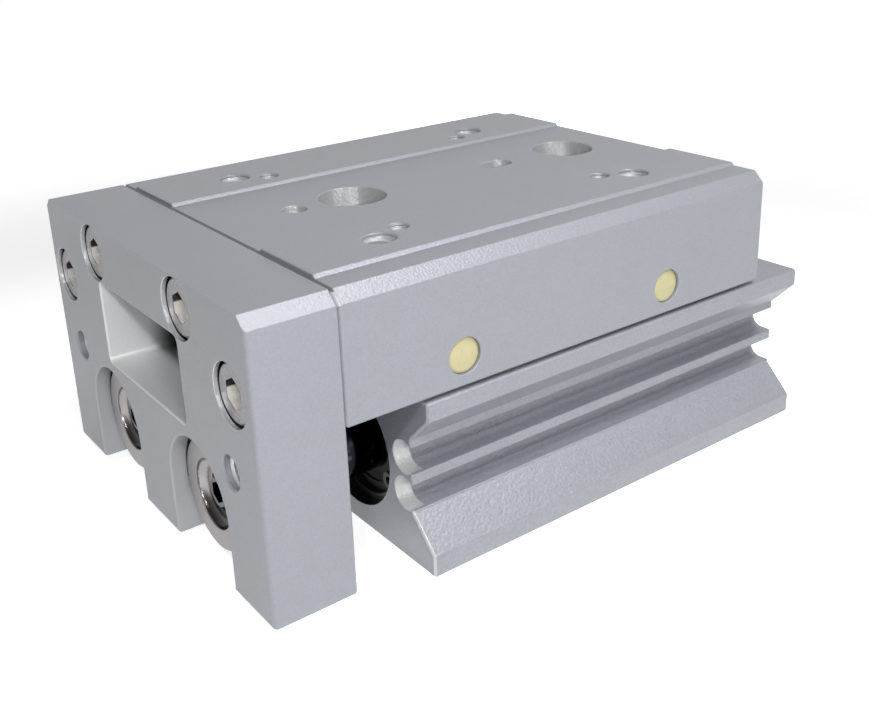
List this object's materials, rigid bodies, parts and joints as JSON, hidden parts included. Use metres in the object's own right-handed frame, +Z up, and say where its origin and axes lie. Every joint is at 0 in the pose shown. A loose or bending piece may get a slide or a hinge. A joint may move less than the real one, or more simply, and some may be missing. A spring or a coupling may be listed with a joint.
{
  "type": "pneumatic slide table",
  "caption": "Low aluminium slide table: twin air cylinders in a splayed body drive an end plate and a flat top table that runs on a crossed-roller guide.",
  "frame": {"origin": "middle of the body's underside", "axes": "+X the way the table runs out, +Y to the side with the switch grooves, +Z up"},
  "size_m": [0.1055, 0.071, 0.0473],
  "materials": {
    "anodised_aluminium": "bead blasted, clear anodised",
    "stainless_steel": "satin, turned",
    "hardened_steel": "ground",
    "dark_steel": "black oxide",
    "chromed_steel": "hard chromed, polished",
    "dark_anodised": "dark anodised",
    "spring_steel": "phosphated",
    "cast_alloy": "chromated",
    "black_rubber": "moulded",
    "grey_urethane": "moulded",
    "bronze": "oil filled",
    "cage_resin": "moulded",
    "bonded_magnet": "pressed",
    "sealing_resin": "cast, slightly clear"
  },
  "bodies": {
    "body": {"body": "anodised_aluminium", "guide_block": "hardened_steel", "guide_block_screws": "dark_steel", "rod_cover_left": "dark_anodised", "rod_bush_left": "bronze", "rod_seal_left": "black_rubber", "rod_cover_o_ring_left": "black_rubber", "front_circlip_left": "spring_steel", "front_bumper_left": "grey_urethane", "rear_bumper_left": "grey_urethane", "head_cap_left": "cast_alloy", "head_cap_o_ring_left": "black_rubber", "rear_circlip_left": "spring_steel", "rod_cover_right": "dark_anodised", "rod_bush_right": "bronze", "rod_seal_right": "black_rubber", "rod_cover_o_ring_right": "black_rubber", "front_circlip_right": "spring_steel", "front_bumper_right": "grey_urethane", "rear_bumper_right": "grey_urethane", "head_cap_right": "cast_alloy", "head_cap_o_ring_right": "black_rubber", "rear_circlip_right": "spring_steel"},
    "table": {"table": "anodised_aluminium", "end_plate": "anodised_aluminium", "end_plate_screws": "stainless_steel", "rail_screws": "dark_steel", "cage_stop_screws": "dark_steel", "preload_screws": "dark_steel", "preload_plugs": "sealing_resin", "rail_left": "hardened_steel", "piston_left": "cast_alloy", "piston_seal_left": "black_rubber", "piston_magnet_left": "bonded_magnet", "piston_nut_left": "dark_steel", "piston_rod_left": "chromed_steel", "rod_end_left": "stainless_steel", "rail_right": "hardened_steel", "piston_right": "cast_alloy", "piston_seal_right": "black_rubber", "piston_magnet_right": "bonded_magnet", "piston_nut_right": "dark_steel", "piston_rod_right": "chromed_steel", "rod_end_right": "stainless_steel"},
    "left_cage": {"roller_cage_left": "cage_resin", "rollers_left": "hardened_steel"},
    "right_cage": {"roller_cage_right": "cage_resin", "rollers_right": "hardened_steel"}
  },
  "joints": [
    {"name": "table_slide", "type": "slide", "parent": "body", "child": "table", "axis": [1, 0, 0], "range_m": [-0.01, 0]},
    {"name": "left_cage_slide", "type": "slide", "parent": "body", "child": "left_cage", "axis": [1, 0, 0], "range_m": [-0.005, 0]},
    {"name": "right_cage_slide", "type": "slide", "parent": "body", "child": "right_cage", "axis": [1, 0, 0], "range_m": [-0.005, 0]}
  ],
  "couplings": [
    {"joint": "left_cage_slide", "follows": "table_slide", "ratio": 0.5},
    {"joint": "right_cage_slide", "follows": "table_slide", "ratio": 0.5}
  ]
}
